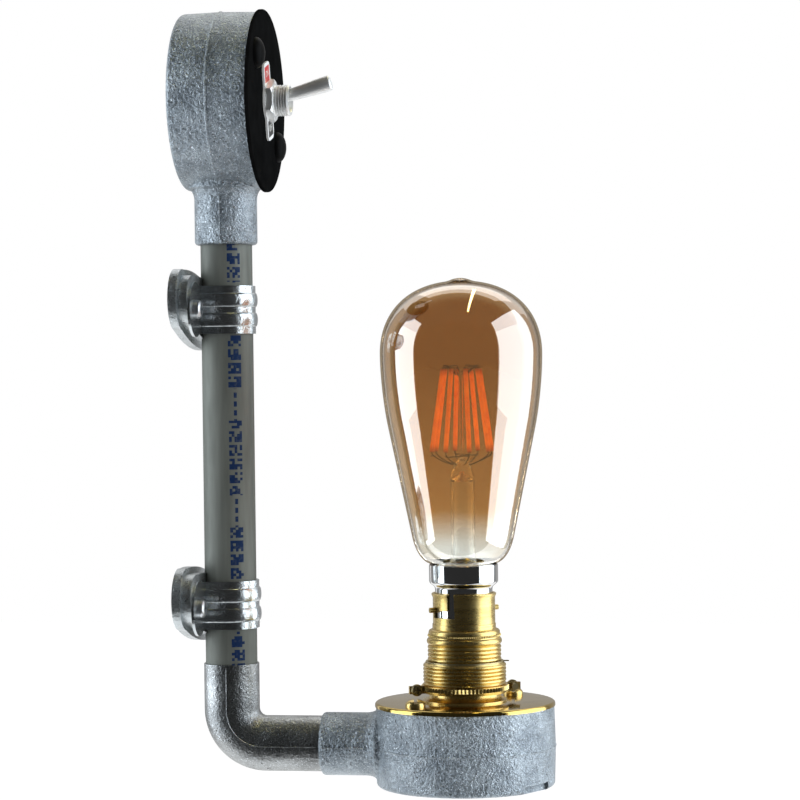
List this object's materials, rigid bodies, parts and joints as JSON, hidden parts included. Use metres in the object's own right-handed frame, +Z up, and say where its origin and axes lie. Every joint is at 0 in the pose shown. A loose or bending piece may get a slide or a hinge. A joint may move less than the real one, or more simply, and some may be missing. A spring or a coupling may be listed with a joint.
{
  "type": "pipe wall light",
  "caption": "Wall light of galvanised conduit: a round switch box, a straight pipe on saddles, an elbow arm and a round lamp box with a brass bayonet holder and a clear filament lamp.",
  "frame": {"origin": "middle of the switch box's back face, on the wall", "axes": "+X leaves the wall, +Z is up along the conduit, +Y is sideways along the wall"},
  "size_m": [0.141, 0.0702, 0.2983],
  "materials": {
    "cast_galv": "hot-dip galvanised casting, fine grain",
    "tube_galv": "galvanised tube, matte",
    "saddle_cast": "galvanised casting",
    "zinc": "bright zinc plate",
    "nickel": "satin nickel plate",
    "cap_nickel": "nickel plate",
    "steel": "plain steel",
    "lid_black": "black satin",
    "cap_black": "black moulded",
    "legend": "printed red and black on pale metal",
    "brass_polished": "polished",
    "brass_pale": "bright",
    "brass_plain": "turned",
    "copper": "copper alloy",
    "rubber_black": "matte",
    "nylon": "natural nylon",
    "phenolic": "dark moulded",
    "porcelain": "white glaze",
    "cap_glass": "black cap glass",
    "solder": "solder",
    "board": "circuit board",
    "amber_glass": "amber tint fading to clear",
    "clear_glass": "clear",
    "filament": "orange phosphor",
    "support": "dark wire",
    "wire_brown": "insulated wire",
    "wire_blue": "insulated wire",
    "wire_pair": "insulated wires, one brown and one blue"
  },
  "bodies": {
    "wall_side": {"switch_box": "cast_galv", "entry_grommet": "rubber_black", "earth_screw": "brass_plain", "neutral_body": "nylon", "neutral_barrel": "brass_plain", "neutral_screws": "brass_plain", "switch_lid": "lid_black", "lid_screws": "zinc", "screw_caps": "cap_black", "legend_plate": "legend", "front_nut": "nickel", "lock_washer": "nickel", "back_nut": "nickel", "switch_bushing": "nickel", "switch_case": "phenolic", "centre_terminal": "brass_plain", "end_terminal": "brass_plain", "pivot_pin": "steel", "conduit_pipe": "tube_galv", "upper_saddle_base": "saddle_cast", "upper_saddle_strap": "zinc", "upper_strap_screws": "zinc", "lower_saddle_base": "saddle_cast", "lower_saddle_strap": "zinc", "lower_strap_screws": "zinc", "live_wire_pipe": "wire_brown", "neutral_wire_pipe": "wire_blue"},
    "arm": {"elbow": "cast_galv", "arm_wires": "wire_pair"},
    "lamp_head": {"lamp_box": "cast_galv", "brass_plate": "brass_polished", "plate_screws": "brass_polished", "holder_neck": "brass_polished", "knurled_ring": "brass_polished", "clamp_screws": "brass_pale", "lower_shell": "brass_polished", "split_clip": "brass_pale", "upper_shell": "brass_polished", "bayonet_sleeve": "brass_polished", "holder_core": "porcelain", "holder_barrels": "brass_plain", "barrel_screws": "brass_plain", "plunger_springs": "steel", "lamp_wires": "wire_pair"},
    "lamp": {"lamp_cap": "cap_nickel", "cap_pins": "brass_plain", "cap_insulator": "cap_glass", "cap_contacts": "solder", "lamp_driver": "board", "glass_bulb": "amber_glass", "glass_stem": "clear_glass", "filament_sticks": "filament", "support_wires": "support"},
    "plungers": {"contact_plungers": "brass_plain"},
    "lever": {"toggle_lever": "nickel", "lever_plunger": "nylon", "lever_spring": "steel"},
    "rocker": {"contact_rocker": "copper"}
  },
  "joints": [
    {"name": "toggle_tilt", "type": "hinge", "parent": "wall_side", "child": "lever", "pos_m": [0.0341, 0, 0], "axis": [0, 1, 0], "range_deg": [0, 31]},
    {"name": "rocker_tilt", "type": "hinge", "parent": "wall_side", "child": "rocker", "pos_m": [0.01725, 0, 0], "axis": [0, 1, 0], "range_deg": [-15.5, 0]},
    {"name": "arm_swivel", "type": "hinge", "parent": "wall_side", "child": "arm", "pos_m": [0.01525, 0, -0.248], "axis": [0, 0, 1], "range_deg": [-60, 60]},
    {"name": "lamp_roll", "type": "hinge", "parent": "arm", "child": "lamp_head", "pos_m": [0.06525, 0, -0.248], "axis": [1, 0, 0], "range_deg": [-45, 45]},
    {"name": "lamp_push", "type": "slide", "parent": "lamp_head", "child": "lamp", "axis": [0, 0, -1], "range_m": [0, 0.0018], "stiffness_N_per_m": 1500, "springref_m": -0.004},
    {"name": "plunger_push", "type": "slide", "parent": "lamp_head", "child": "plungers", "axis": [0, 0, -1], "range_m": [0, 0.0018], "deforming": ["plunger_springs"]}
  ],
  "couplings": [
    {"joint": "rocker_tilt", "follows": "toggle_tilt", "ratio": -0.5},
    {"joint": "plunger_push", "follows": "lamp_push", "ratio": 1}
  ]
}
